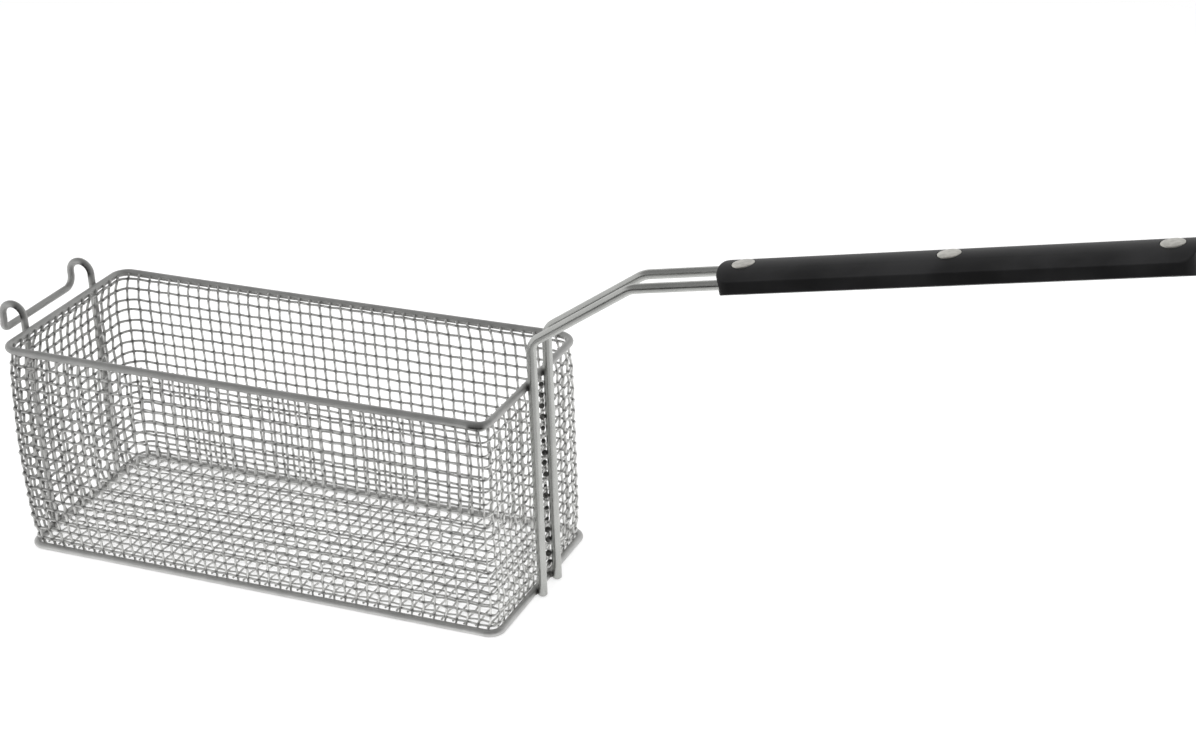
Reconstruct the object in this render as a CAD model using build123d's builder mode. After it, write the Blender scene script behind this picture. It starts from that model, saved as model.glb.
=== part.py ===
from build123d import *
import os
from math import cos, radians, sin

# Deep fryer basket in millimetres, +Z up. The origin is under the basket's centre, on the
# surface that the base ring stands on. +X runs from the hooks towards the grip, and the
# basket is long along X and narrow along Y.

# Basket body
basket_length = 342.9
basket_width = 139.7
basket_depth = 146.05
ring_wire = 4.76
rim_corner_radius = 11.5
base_corner_radius = 9.0
weld_clearance = 0.1

# Wire mesh: real wires of this size and pitch, gathered here into bars of a few wires each
mesh_pitch = 7.8
mesh_wire = 1.4
wires_in_bar = 3
mesh_foot = 1.0

# Hook wire at the end away from the grip
hanger_wire_size = 4.4
hanger_near_y = -36.0
hanger_far_y = 40.2
hanger_foot = 2.0
hook_radius = 8.1
hook_straight = 2.6
crossbar_drop = 1.5
crossbar_lean = 1.9
lean_rise = 7.2
lean_bend_radius = 12.0
crossbar_bend_radius = 5.5

# Handle rod, one hairpin with its closed end inside the grip
rod_wire = 6.0
rod_spacing = 22.6
rod_foot = 0.4
lower_bend_rise = 30.4
lower_bend_radius = 11.0
slope_run = 64.6
slope_rise = 43.6
upper_bend_radius = 17.0
handle_tilt = 10.2
hairpin_play = 0.3
channel_clearance = 0.1

# Grip: two shells that meet on the rods' level
grip_start = 53.2
grip_length = 269.6
grip_width = 35.0
grip_side_height = 3.6
grip_crown_height = 8.4
grip_corner_radius = 8.5
grip_end_bulge = 3.5
grip_edge_radius = 0.9

# Rivets through both shells, between the two legs of the rod
rivet_inset = 14.4
rivet_shank = 5.0
rivet_head = 13.5
rivet_head_thickness = 1.2
rivet_head_chamfer = 0.4
rivet_seat_height = 7.5
rivet_clearance = 0.1
head_clearance = 0.25
rivet_to_hairpin = 3.2

# Places worked out from the sizes above
rim_height = basket_depth - ring_wire / 2
base_height = ring_wire / 2
ring_half_length = (basket_length - ring_wire) / 2
ring_half_width = (basket_width - ring_wire) / 2

mesh_bar = wires_in_bar * mesh_wire
bar_pitch = wires_in_bar * mesh_pitch
wall_half_length = ring_half_length - ring_wire / 2 - weld_clearance - mesh_wire
wall_half_width = ring_half_width - ring_wire / 2 - weld_clearance - mesh_wire
wall_corner_radius = rim_corner_radius - ring_wire / 2 - weld_clearance - mesh_wire
wall_rise = rim_height - mesh_foot

hanger_leg_x = -(basket_length / 2 + weld_clearance + hanger_wire_size / 2)
hook_outer_x = hanger_leg_x - 2 * hook_radius
crossbar_x = hook_outer_x - crossbar_lean
crossbar_height = rim_height - crossbar_drop
lean_height = crossbar_height + lean_rise
hook_top = lean_height + hook_straight + hook_radius

rod_x = basket_length / 2 + weld_clearance + rod_wire / 2
rod_side = rod_spacing / 2
lower_bend_height = rim_height + lower_bend_rise
upper_bend_x = rod_x + slope_run
upper_bend_height = lower_bend_height + slope_rise

along = Vector(cos(radians(handle_tilt)), 0, sin(radians(handle_tilt)))
above = Vector(-sin(radians(handle_tilt)), 0, cos(radians(handle_tilt)))
grip_plane = Plane(origin=(upper_bend_x, 0, upper_bend_height), x_dir=along, z_dir=above)
grip_section = Plane(origin=grip_plane.origin + along * grip_start, x_dir=(0, 1, 0), z_dir=along)
grip_end = grip_start + grip_length
rivet_stations = {
    "front": grip_start + rivet_inset,
    "middle": (grip_start + grip_end) / 2,
    "rear": grip_end - rivet_inset,
}
hairpin_end = rivet_stations["rear"] + rivet_shank / 2 + rivet_to_hairpin + rod_wire / 2


def loop_corners(half_length, half_width, height):
    """Corners of a level rectangle about the Z axis, counter-clockwise from above."""
    return [
        (half_length, -half_width, height),
        (half_length, half_width, height),
        (-half_length, half_width, height),
        (-half_length, -half_width, height),
    ]


def ridged_bar():
    """Outline of one mesh bar's section: a flat back at v = 0 and a ridge for each wire."""
    points = [(-mesh_bar / 2, 0), (mesh_bar / 2, 0)]
    for wire in range(wires_in_bar):
        edge = mesh_bar / 2 - wire * mesh_wire
        points.append((edge, mesh_wire / 2))
        points.append((edge - mesh_wire / 2, mesh_wire))
    points.append((-mesh_bar / 2, mesh_wire / 2))
    return points


def bar_places(straight_run):
    """Even places, one bar pitch apart, for the most bars that fit in a straight run."""
    gaps = int((straight_run - mesh_bar) // bar_pitch)
    return [(place - gaps / 2) * bar_pitch for place in range(gaps + 1)]


# Top rim: one closed ring of round wire
with BuildPart() as top_rim:
    with BuildLine() as rim_line:
        FilletPolyline(
            *loop_corners(ring_half_length, ring_half_width, rim_height),
            radius=rim_corner_radius,
            close=True,
        )
    with BuildSketch(Plane(rim_line.wire() @ 0, z_dir=rim_line.wire() % 0)):
        Circle(ring_wire / 2)
    sweep(path=rim_line.wire())

# Base ring: the same wire, which the basket stands on
with BuildPart() as base_ring:
    with BuildLine() as base_line:
        FilletPolyline(
            *loop_corners(ring_half_length, ring_half_width, base_height),
            radius=base_corner_radius,
            close=True,
        )
    with BuildSketch(Plane(base_line.wire() @ 0, z_dir=base_line.wire() % 0)):
        Circle(ring_wire / 2)
    sweep(path=base_line.wire())

# Wall mesh: one band inside both rings, level bars outside and upright bars inside
row_gaps = round((wall_rise - mesh_bar) / bar_pitch)
row_pitch = (wall_rise - mesh_bar) / row_gaps
row_heights = [mesh_foot + mesh_bar / 2 + row * row_pitch for row in range(row_gaps + 1)]
long_wall_places = bar_places(2 * (wall_half_length - wall_corner_radius))
short_wall_places = bar_places(2 * (wall_half_width - wall_corner_radius))
upright_places = (
    [Location((x, -wall_half_width), 0) for x in long_wall_places]
    + [Location((x, wall_half_width), 180) for x in long_wall_places]
    + [Location((wall_half_length, y), 90) for y in short_wall_places]
    + [Location((-wall_half_length, y), -90) for y in short_wall_places]
)
with BuildPart() as wall_mesh:
    for row_height in row_heights:
        with BuildLine() as row_line:
            FilletPolyline(
                *loop_corners(wall_half_length, wall_half_width, row_height),
                radius=wall_corner_radius,
                close=True,
            )
        row_start = row_line.wire() @ 0
        with BuildSketch(Plane(row_start, x_dir=(0, 0, 1), z_dir=row_line.wire() % 0)):
            Polygon(*ridged_bar(), align=None)
        sweep(path=row_line.wire())
    with BuildSketch(Plane.XY.offset(mesh_foot)):
        with Locations(*upright_places):
            Polygon(*ridged_bar(), align=None)
    extrude(amount=wall_rise)

# Floor mesh: a flat panel inside the wall band, long bars below and cross bars above
floor_half_length = wall_half_length - mesh_wire - weld_clearance
floor_half_width = wall_half_width - mesh_wire - weld_clearance
floor_middle = mesh_foot + mesh_wire
with BuildPart() as floor_mesh:
    with BuildSketch(Plane.YZ.offset(-floor_half_length)):
        with Locations(*[Location((y, floor_middle), 180) for y in short_wall_places]):
            Polygon(*ridged_bar(), align=None)
    extrude(amount=2 * floor_half_length)
    with BuildSketch(Plane.XZ.offset(-floor_half_width)):
        with Locations(*[Location((x, floor_middle), 0) for x in long_wall_places]):
            Polygon(*ridged_bar(), align=None)
    extrude(amount=2 * floor_half_width)

# Hanger: one wire, up the end wall, over the rim in two hooks and across between them
hanger_half = [
    (hanger_leg_x, hanger_foot),
    (hanger_leg_x, hook_top),
    (hook_outer_x, hook_top),
    (hook_outer_x, lean_height),
    (crossbar_x, crossbar_height),
]
hanger_radii = [hook_radius, hook_radius - weld_clearance, lean_bend_radius, crossbar_bend_radius]
with BuildPart() as hanger_wire:
    with BuildLine() as hanger_line:
        FilletPolyline(
            *[(x, hanger_near_y, z) for x, z in hanger_half],
            *[(x, hanger_far_y, z) for x, z in reversed(hanger_half)],
            radius=hanger_radii + hanger_radii[::-1],
        )
    with BuildSketch(Plane(hanger_line.wire() @ 0, z_dir=hanger_line.wire() % 0)):
        Circle(hanger_wire_size / 2)
    sweep(path=hanger_line.wire())

# Handle rod: up the end wall, out over two bends and back inside the grip
hairpin_corner = grip_plane.origin + along * hairpin_end
rod_half = [
    (rod_x, rod_foot),
    (rod_x, lower_bend_height),
    (upper_bend_x, upper_bend_height),
    (hairpin_corner.X, hairpin_corner.Z),
]
rod_radii = [lower_bend_radius, upper_bend_radius, rod_side - hairpin_play]
with BuildPart() as handle_rod:
    with BuildLine() as rod_line:
        FilletPolyline(
            *[(x, -rod_side, z) for x, z in rod_half],
            *[(x, rod_side, z) for x, z in reversed(rod_half)],
            radius=rod_radii + rod_radii[::-1],
        )
    with BuildSketch(Plane(rod_line.wire() @ 0, z_dir=rod_line.wire() % 0)):
        Circle(rod_wire / 2)
    sweep(path=rod_line.wire())

# Grip shells: a crowned half above the rods' level and its mirror image below
with BuildPart() as grip_upper_shell:
    with BuildSketch(grip_section):
        with BuildLine():
            Polyline(
                (-grip_width / 2, grip_side_height),
                (-grip_width / 2, 0),
                (grip_width / 2, 0),
                (grip_width / 2, grip_side_height),
            )
            ThreePointArc(
                (grip_width / 2, grip_side_height),
                (0, grip_crown_height),
                (-grip_width / 2, grip_side_height),
            )
        make_face()
    extrude(amount=grip_length)
    with BuildSketch(grip_plane):
        with BuildLine():
            near_left = (grip_start + grip_end_bulge, -grip_width / 2)
            near_right = (grip_end - grip_end_bulge, -grip_width / 2)
            far_right = (grip_end - grip_end_bulge, grip_width / 2)
            far_left = (grip_start + grip_end_bulge, grip_width / 2)
            Line(near_left, near_right)
            ThreePointArc(near_right, (grip_end, 0), far_right)
            Line(far_right, far_left)
            ThreePointArc(far_left, (grip_start, 0), near_left)
        outline = make_face()
        fillet(outline.vertices(), radius=grip_corner_radius)
    extrude(amount=grip_crown_height, mode=Mode.INTERSECT)
    crown = grip_upper_shell.faces().filter_by(GeomType.CYLINDER).sort_by(SortBy.AREA)[-1]
    fillet(crown.edges(), radius=grip_edge_radius)
    with BuildSketch(Plane(rod_line.wire() @ 0, z_dir=rod_line.wire() % 0)):
        Circle(rod_wire / 2 + channel_clearance)
    sweep(path=rod_line.wire(), mode=Mode.SUBTRACT)
    with BuildSketch(grip_plane):
        with Locations(*[(station, 0) for station in rivet_stations.values()]):
            Circle(rivet_shank / 2 + rivet_clearance)
    extrude(amount=grip_crown_height, mode=Mode.SUBTRACT)
    with BuildSketch(grip_plane.offset(rivet_seat_height)):
        with Locations(*[(station, 0) for station in rivet_stations.values()]):
            Circle(rivet_head / 2 + head_clearance)
    extrude(amount=grip_crown_height - rivet_seat_height, mode=Mode.SUBTRACT)

with BuildPart() as grip_lower_shell:
    mirror(grip_upper_shell.part, about=grip_plane)

pieces = {
    "top_rim": top_rim,
    "base_ring": base_ring,
    "wall_mesh": wall_mesh,
    "floor_mesh": floor_mesh,
    "hanger_wire": hanger_wire,
    "handle_rod": handle_rod,
    "grip_upper_shell": grip_upper_shell,
    "grip_lower_shell": grip_lower_shell,
}

# Rivets: a shank through both shells with a flat round head at each end
for station_name, station in rivet_stations.items():
    with BuildPart() as grip_rivet:
        with BuildSketch(grip_plane):
            with Locations((station, 0)):
                Circle(rivet_shank / 2)
        extrude(amount=rivet_seat_height)
        with BuildSketch(grip_plane.offset(rivet_seat_height)):
            with Locations((station, 0)):
                Circle(rivet_head / 2)
        extrude(amount=rivet_head_thickness)
        head_top = grip_rivet.faces().sort_by(Axis(grip_plane.origin, above))[-1]
        chamfer(head_top.edges(), length=rivet_head_chamfer)
        mirror(about=grip_plane)
    pieces[f"grip_rivet_{station_name}"] = grip_rivet

os.makedirs("parts", exist_ok=True)
for name, piece in pieces.items():
    piece.part.label = name
    export_step(piece.part, f"parts/{name}.step")
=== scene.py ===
"""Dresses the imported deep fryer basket: woven mesh, plated wire, moulded grip, studio and camera.

The mesh is woven wire by wire, and the rings, the hook wire and the handle rod are drawn as round
plated wire with their welds. The grip keeps its packed shells. Sizes are in millimetres and become
metres as each mesh is made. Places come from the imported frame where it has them.
"""

import logging
import math
from dataclasses import dataclass, field
from enum import Enum
from typing import Any, Sequence, Union

import bpy
import numpy as np
from mathutils import Matrix, Vector


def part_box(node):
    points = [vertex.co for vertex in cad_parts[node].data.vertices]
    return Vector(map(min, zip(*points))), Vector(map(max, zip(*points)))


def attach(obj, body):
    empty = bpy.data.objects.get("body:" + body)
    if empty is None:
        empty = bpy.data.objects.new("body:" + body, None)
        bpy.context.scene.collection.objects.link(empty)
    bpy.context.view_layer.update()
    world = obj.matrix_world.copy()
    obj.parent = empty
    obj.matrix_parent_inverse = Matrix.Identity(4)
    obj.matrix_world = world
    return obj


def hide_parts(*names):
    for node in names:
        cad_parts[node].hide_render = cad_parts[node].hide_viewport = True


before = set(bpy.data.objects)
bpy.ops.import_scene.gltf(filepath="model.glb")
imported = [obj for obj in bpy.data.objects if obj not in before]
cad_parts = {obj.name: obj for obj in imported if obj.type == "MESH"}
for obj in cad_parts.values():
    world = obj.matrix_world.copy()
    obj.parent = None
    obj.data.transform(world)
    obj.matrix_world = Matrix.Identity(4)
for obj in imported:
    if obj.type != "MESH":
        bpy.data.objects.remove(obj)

MM = 0.001
SEED = 20
BODY = "root"
RINGS = ("top_rim", "base_ring")
UP = (0.0, 0.0, 1.0)
ACROSS = (0.0, 1.0, 0.0)
TURN_STEP = math.radians(6)
RIPPLE_TURNS = range(2, 7)
log = logging.getLogger("fryer_basket")

Colour = tuple[float, float, float]
Operand = Union["Signal", float, int]
Table = tuple[tuple[float, float], ...]
CornerRadii = tuple[float, float, float, float]


class WireEnds(Enum):
    """How a wire's ends are finished."""

    CUT = "cut"
    JOINED = "joined"


class Weave(Enum):
    """Which way the wires of one layer run."""

    LEVEL = "level"
    UPRIGHT = "upright"
    LONG = "long"
    CROSS = "cross"


class Draws(Enum):
    """What a seeded source of random numbers is for, so that each part has its own."""

    WIRES = 0
    WALL = 1
    FLOOR = 2
    BEADS = 3
    TIES = 4
    RIM = 13
    BASE_RING = 14

    def source(self) -> np.random.Generator:
        """A source that gives the same numbers at each run."""
        return np.random.default_rng(SEED + self.value)


class Signal:
    """A shader socket that takes part in Python arithmetic.

    Args:
        graph: the graph that new nodes go into.
        socket: the output socket that this signal reads.
    """

    OPERATIONS = {"+": "ADD", "-": "SUBTRACT", "*": "MULTIPLY"}

    def __init__(self, graph: "Graph", socket: bpy.types.NodeSocket) -> None:
        """Keeps the graph and the socket."""
        self.graph = graph
        self.socket = socket

    def joined(self, sign: str, first: Operand, second: Operand) -> "Signal":
        """Adds the node that combines two operands.

        Args:
            sign: the arithmetic sign.
            first: the left operand.
            second: the right operand.

        Returns:
            A Math result for numbers, Vector Math for vectors and Mix for colours.
        """
        kinds = {item.socket.type for item in (first, second) if isinstance(item, Signal)}
        operation = self.OPERATIONS[sign]
        if "RGBA" in kinds:
            settings = {"data_type": "RGBA", "blend_type": operation}
            sockets = {"Factor_Float": 1.0, "A_Color": first, "B_Color": second}
            return self.graph.signal("ShaderNodeMix", "Result_Color", settings, sockets)
        kind = "ShaderNodeVectorMath" if "VECTOR" in kinds else "ShaderNodeMath"
        return self.graph.signal(kind, 0, {"operation": operation}, {0: first, 1: second})

    def __add__(self, other: Operand) -> "Signal":
        """Adds another operand."""
        return self.joined("+", self, other)

    def __radd__(self, other: Operand) -> "Signal":
        """Adds this signal to a number."""
        return self.joined("+", other, self)

    def __sub__(self, other: Operand) -> "Signal":
        """Takes another operand away."""
        return self.joined("-", self, other)

    def __rsub__(self, other: Operand) -> "Signal":
        """Takes this signal from a number."""
        return self.joined("-", other, self)

    def __mul__(self, other: Operand) -> "Signal":
        """Multiplies by another operand."""
        return self.joined("*", self, other)

    def __rmul__(self, other: Operand) -> "Signal":
        """Multiplies a number by this signal."""
        return self.joined("*", other, self)

    def risen(self, low: float, high: float) -> "Signal":
        """A smooth step.

        Args:
            low: the value where it is still 0.
            high: the value where it has reached 1.

        Returns:
            The step, between 0 and 1.
        """
        settings = {"interpolation_type": "SMOOTHSTEP"}
        sockets = {"Value": self, "From Min": low, "From Max": high}
        return self.graph.signal("ShaderNodeMapRange", "Result", settings, sockets)

    def between(self, low: Union["Signal", Colour], high: Union["Signal", Colour]) -> "Signal":
        """A colour mixed by this signal, from low at 0 to high at 1."""
        sockets = {"Factor_Float": self, "A_Color": low, "B_Color": high}
        return self.graph.signal("ShaderNodeMix", "Result_Color", {"data_type": "RGBA"}, sockets)


class Graph:
    """A node tree that is built by one method.

    Args:
        tree: the tree, whose default nodes are cleared.
    """

    def __init__(self, tree: bpy.types.NodeTree) -> None:
        """Keeps the tree and clears it."""
        self.tree = tree
        tree.nodes.clear()

    def node(
        self,
        kind: str,
        settings: dict[str, Any] | None = None,
        sockets: dict[str | int, Any] | None = None,
    ) -> bpy.types.Node:
        """Adds a node.

        Args:
            kind: the node's type.
            settings: its own properties, set first.
            sockets: a number, colour or signal for each input, by identifier, name or place.

        Returns:
            The node.
        """
        made = self.tree.nodes.new(kind)
        for name, value in (settings or {}).items():
            setattr(made, name, value)
        for key, value in (sockets or {}).items():
            self.feed(self.find(made.inputs, key), value)
        return made

    def signal(
        self,
        kind: str,
        output: str | int,
        settings: dict[str, Any] | None = None,
        sockets: dict[str | int, Any] | None = None,
    ) -> Signal:
        """Adds a node as node() does and returns one of its outputs."""
        made = self.node(kind, settings, sockets)
        return Signal(self, self.find(made.outputs, output))

    def noise(self, place: Signal, scale: float, detail: float) -> Signal:
        """Cloudy noise between 0 and 1, about 0.5 on average."""
        return self.signal("ShaderNodeTexNoise", 0, {}, {"Vector": place, "Scale": scale, "Detail": detail})

    def bump(self, height: Signal, depth: float, strength: float) -> Signal:
        """A normal that is tilted as if the surface rose by depth, in millimetres."""
        sockets = {"Height": height, "Distance": depth * MM, "Strength": strength}
        return self.signal("ShaderNodeBump", "Normal", {}, sockets)

    def principled(self, sockets: dict[str | int, Any]) -> None:
        """Ends a material in a Principled shader with these inputs."""
        shader = self.signal("ShaderNodeBsdfPrincipled", 0, {}, sockets)
        self.node("ShaderNodeOutputMaterial", {}, {"Surface": shader})

    def feed(self, socket: bpy.types.NodeSocket, value: Any) -> None:
        """Links or sets an input socket.

        Args:
            socket: the input.
            value: a signal to link, or a number or colour to set.
        """
        if isinstance(value, Signal):
            self.tree.links.new(value.socket, socket)
        elif socket.type == "RGBA":
            rgb = (value,) * 3 if isinstance(value, (int, float)) else value
            socket.default_value = (*rgb[:3], 1.0)
        elif socket.type == "VECTOR" and isinstance(value, (int, float)):
            socket.default_value = (value,) * 3
        else:
            socket.default_value = value

    @staticmethod
    def find(sockets: Any, key: str | int) -> bpy.types.NodeSocket:
        """Finds one of a node's sockets.

        Args:
            sockets: the node's inputs or outputs.
            key: the socket's place, its identifier or its name.

        Returns:
            The socket.
        """
        if isinstance(key, str):
            for socket in sockets:
                if socket.identifier == key:
                    return socket
        return sockets[key]


def blank_material(name: str) -> tuple[bpy.types.Material, Graph]:
    """Makes a node material.

    Args:
        name: its name.

    Returns:
        The material and its empty graph.
    """
    material = bpy.data.materials.new(name)
    material.use_nodes = True
    return material, Graph(material.node_tree)


@dataclass(frozen=True)
class Coat:
    """A finish that is ready to go on pieces.

    Args:
        slot: the record's material slot; not used.
        material: the built material.
    """

    slot: str
    material: bpy.types.Material


@dataclass(frozen=True)
class Finish:
    """What a surface is made of.

    Args:
        name: the material's name.
        slot: the record's material slot.
    """

    name: str
    slot: str

    def material(self) -> bpy.types.Material:
        """Builds the material."""
        raise NotImplementedError

    def coat(self) -> Coat:
        """The built material with its slot, for all the pieces that share it."""
        return Coat(self.slot, self.material())


@dataclass(frozen=True)
class PlatedWire(Finish):
    """Nickel plate on drawn steel wire, darkened and dulled where a weld has heated it and where painted
    shade and painted dark reflections are laid.

    Args:
        tone: the plate's colour.
        burn_and_shade_tone: its colour where a weld burnt it, also used for the painted shade and painted
            dark reflections.
        roughness: the plate's usual roughness.
        streak_depth: how deep the drawing lines are.
        streak_scale: how fine they are across the wire.
        streak_stretch: how fine they are along it, beside that.
        streak_detail: how many finer lines they hold.
        mottle_scale: how fine the cloudy marks are.
        mottle_detail: how many finer marks they hold.
        tone_swing: how far the tone goes down and up.
        mottle_share: how much the cloudy marks move the tone.
        streak_share: how much the drawing lines move it.
        shade_share: how much it differs from wire to wire.
        roughness_swing: how much the drawing lines move the roughness.
        burn_and_shade_roughness: how much rougher a burnt place is, and places of painted shade and painted
            reflection.
        bump_strength: how strongly the drawing lines tilt the light.
    """

    tone: Colour
    burn_and_shade_tone: Colour = (0.032, 0.030, 0.028)
    roughness: float = 0.4
    streak_depth: float = 0.006
    streak_scale: float = 1.7
    streak_stretch: float = 0.035
    streak_detail: float = 4.0
    mottle_scale: float = 0.06
    mottle_detail: float = 3.0
    tone_swing: float = 0.22
    mottle_share: float = 1.2
    streak_share: float = 0.9
    shade_share: float = 0.5
    roughness_swing: float = 0.16
    burn_and_shade_roughness: float = 0.25
    bump_strength: float = 0.6

    def material(self) -> bpy.types.Material:
        """Builds the material.

        Returns:
            Metal whose drawing lines run along each wire, read from the wire_place attribute.
        """
        material, graph = blank_material(self.name)
        place = graph.signal("ShaderNodeAttribute", "Vector", {"attribute_name": "wire_place"})
        # this attribute carries weld burns and painted light: painted contact shade, painted shade bands and
        # painted dark reflections
        burn_and_shade = graph.signal("ShaderNodeAttribute", "Fac", {"attribute_name": "burn_and_shade"})
        shade = graph.signal("ShaderNodeAttribute", "Fac", {"attribute_name": "shade"})
        stretch = (1.0, 1.0, self.streak_stretch)
        along = graph.signal("ShaderNodeVectorMath", 0, {"operation": "MULTIPLY"}, {0: place, 1: stretch})
        streaks = graph.noise(along, self.streak_scale, self.streak_detail)
        mottle = graph.noise(place, self.mottle_scale, self.mottle_detail)
        worn = 0.5 + self.mottle_share * (mottle - 0.5) + self.streak_share * (streaks - 0.5)
        worn = worn + self.shade_share * (shade - 0.5)
        dark, light = (tuple(part * swing for part in self.tone) for swing in self.swings())
        # the base colour goes to the dark tone at weld burns and at painted shade and painted reflections
        base = burn_and_shade.between(worn.between(dark, light), self.burn_and_shade_tone)
        rough = self.roughness + self.roughness_swing * (streaks - 0.5) + self.burn_and_shade_roughness * burn_and_shade
        bump = graph.bump(streaks, self.streak_depth, self.bump_strength)
        graph.principled({"Base Color": base, "Metallic": 1.0, "Roughness": rough, "Normal": bump})
        return material

    def swings(self) -> tuple[float, float]:
        """The shares of the tone at its darkest and lightest."""
        return 1 - self.tone_swing, 1 + self.tone_swing


@dataclass(frozen=True)
class MouldedGrip(Finish):
    """Black moulded plastic with a fine matt grain.

    Args:
        tone: its colour.
        faded_tone: its colour where it has faded.
        fading: the levels of the clouds between which it fades.
        roughness: its usual roughness.
        roughness_swing: how much the grain and the clouds each move that.
        grain_scale: how fine the grain is.
        grain_detail: how many finer grains it holds.
        grain_depth: how deep it is.
        cloud_scale: how fine the faded clouds are.
        cloud_detail: how many finer clouds they hold.
        specular: how much it shines, as the shader's specular level.
        bump_strength: how strongly the grain tilts the light.
    """

    tone: Colour = (0.0085, 0.0085, 0.0088)
    faded_tone: Colour = (0.0160, 0.0160, 0.0165)
    fading: tuple[float, float] = (0.35, 0.7)
    roughness: float = 0.44
    roughness_swing: float = 0.14
    grain_scale: float = 1500.0
    grain_detail: float = 3.0
    grain_depth: float = 0.03
    cloud_scale: float = 28.0
    cloud_detail: float = 4.0
    specular: float = 0.08
    bump_strength: float = 0.5

    def material(self) -> bpy.types.Material:
        """Builds the material.

        Returns:
            Plastic whose grain stays with the grip, read from the place on it.
        """
        material, graph = blank_material(self.name)
        place = graph.signal("ShaderNodeNewGeometry", "Position")
        grain = graph.noise(place, self.grain_scale, self.grain_detail)
        cloud = graph.noise(place, self.cloud_scale, self.cloud_detail)
        base = cloud.risen(*self.fading).between(self.tone, self.faded_tone)
        rough = self.roughness + self.roughness_swing * (grain - 0.5) + self.roughness_swing * (cloud - 0.5)
        bump = graph.bump(grain, self.grain_depth, self.bump_strength)
        sockets = {"Base Color": base, "Roughness": rough, "Specular IOR Level": self.specular}
        graph.principled({**sockets, "Normal": bump})
        return material


@dataclass(frozen=True)
class RivetMetal(Finish):
    """Soft bright metal of the rivet heads, dented a little by the setting tool.

    Args:
        tone: its colour.
        dull_tone: its colour in the dents.
        dulling: the levels of the dents between which it dulls.
        roughness: its usual roughness.
        roughness_swing: how much the scratches move that.
        dent_scale: how fine the dents are.
        dent_detail: how many finer dents they hold.
        dent_depth: how deep they are.
        scratch_scale: how fine the scratches are.
        scratch_detail: how many finer scratches they hold.
        bump_strength: how strongly the dents tilt the light.
    """

    tone: Colour = (0.62, 0.61, 0.57)
    dull_tone: Colour = (0.50, 0.495, 0.46)
    dulling: tuple[float, float] = (0.35, 0.65)
    roughness: float = 0.45
    roughness_swing: float = 0.2
    dent_scale: float = 330.0
    dent_detail: float = 4.0
    dent_depth: float = 0.08
    scratch_scale: float = 2600.0
    scratch_detail: float = 2.0
    bump_strength: float = 0.5

    def material(self) -> bpy.types.Material:
        """Builds the material.

        Returns:
            Metal whose dents stay with the rivet, read from the place on it.
        """
        material, graph = blank_material(self.name)
        place = graph.signal("ShaderNodeNewGeometry", "Position")
        dents = graph.noise(place, self.dent_scale, self.dent_detail)
        scratches = graph.noise(place, self.scratch_scale, self.scratch_detail)
        base = dents.risen(*self.dulling).between(self.dull_tone, self.tone)
        rough = self.roughness + self.roughness_swing * (scratches - 0.5)
        bump = graph.bump(dents, self.dent_depth, self.bump_strength)
        graph.principled({"Base Color": base, "Metallic": 1.0, "Roughness": rough, "Normal": bump})
        return material


@dataclass(frozen=True)
class Extent:
    """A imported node's box in millimetres.

    Args:
        low: its lowest corner.
        high: its highest corner.
    """

    low: np.ndarray
    high: np.ndarray

    @classmethod
    def of(cls, node: str) -> "Extent":
        """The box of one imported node."""
        low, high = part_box(node)
        return cls(np.array(low) / MM, np.array(high) / MM)

    @property
    def size(self) -> np.ndarray:
        """Its length, width and height."""
        return self.high - self.low

    @property
    def middle(self) -> np.ndarray:
        """Its centre."""
        return (self.high + self.low) / 2


def unit(vectors: np.ndarray) -> np.ndarray:
    """Vectors of length one along the last axis."""
    return vectors / np.linalg.norm(vectors, axis=-1, keepdims=True)


def rounded_route(
    corners: Sequence[Sequence[float]],
    radii: Sequence[float],
    step: float,
    closed: bool = False,
) -> np.ndarray:
    """Straight runs joined by tangent arcs.

    Args:
        corners: the points where the runs would meet.
        radii: the arc's radius at each corner that turns.
        step: about how far apart the samples of a straight run are.
        closed: whether the last corner joins the first.

    Returns:
        The samples, one row each, without a repeat at the end of a closed route.
    """
    points = np.array(corners, float)
    count = len(points)
    turning = range(count) if closed else range(1, count - 1)
    arcs = {}
    for corner, radius in zip(turning, radii):
        arrive = unit(points[corner] - points[corner - 1])
        leave = unit(points[(corner + 1) % count] - points[corner])
        turn = math.acos(float(np.clip(arrive @ leave, -1, 1)))
        start = points[corner] - arrive * radius * math.tan(turn / 2)
        centre = points[corner] + unit(leave - arrive) * radius / math.cos(turn / 2)
        angles = np.linspace(0, turn, max(3, math.ceil(turn / TURN_STEP) + 1))[:, None]
        arcs[corner] = centre + (start - centre) * np.cos(angles) + arrive * radius * np.sin(angles)
    pieces = [arcs.get(corner, points[corner][None]) for corner in range(count)]
    route = []
    for here, there in zip(pieces, pieces[1:] + pieces[:1]):
        route.append(here)
        run = there[0] - here[-1]
        inner = max(1, round(float(np.linalg.norm(run)) / step))
        if closed or there is not pieces[0]:
            route.append(here[-1] + run * np.linspace(0, 1, inner + 1)[1:-1, None])
    return np.concatenate(route)


def ripple(places: np.ndarray, length: float, depth: float, rng: np.random.Generator) -> np.ndarray:
    """A slow wave that closes on itself, between 0 and depth.

    Args:
        places: distances along the wire.
        length: the wire's whole length.
        depth: the most that the wave moves the wire.
        rng: the source of its phases.

    Returns:
        The wave at each place.
    """
    wave = np.zeros_like(places)
    for turns in RIPPLE_TURNS:
        wave += np.sin(2 * math.pi * turns * places / length + rng.uniform(0, 2 * math.pi)) / turns
    spread = wave.max() - wave.min()
    return depth * (wave - wave.min()) / spread


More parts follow.
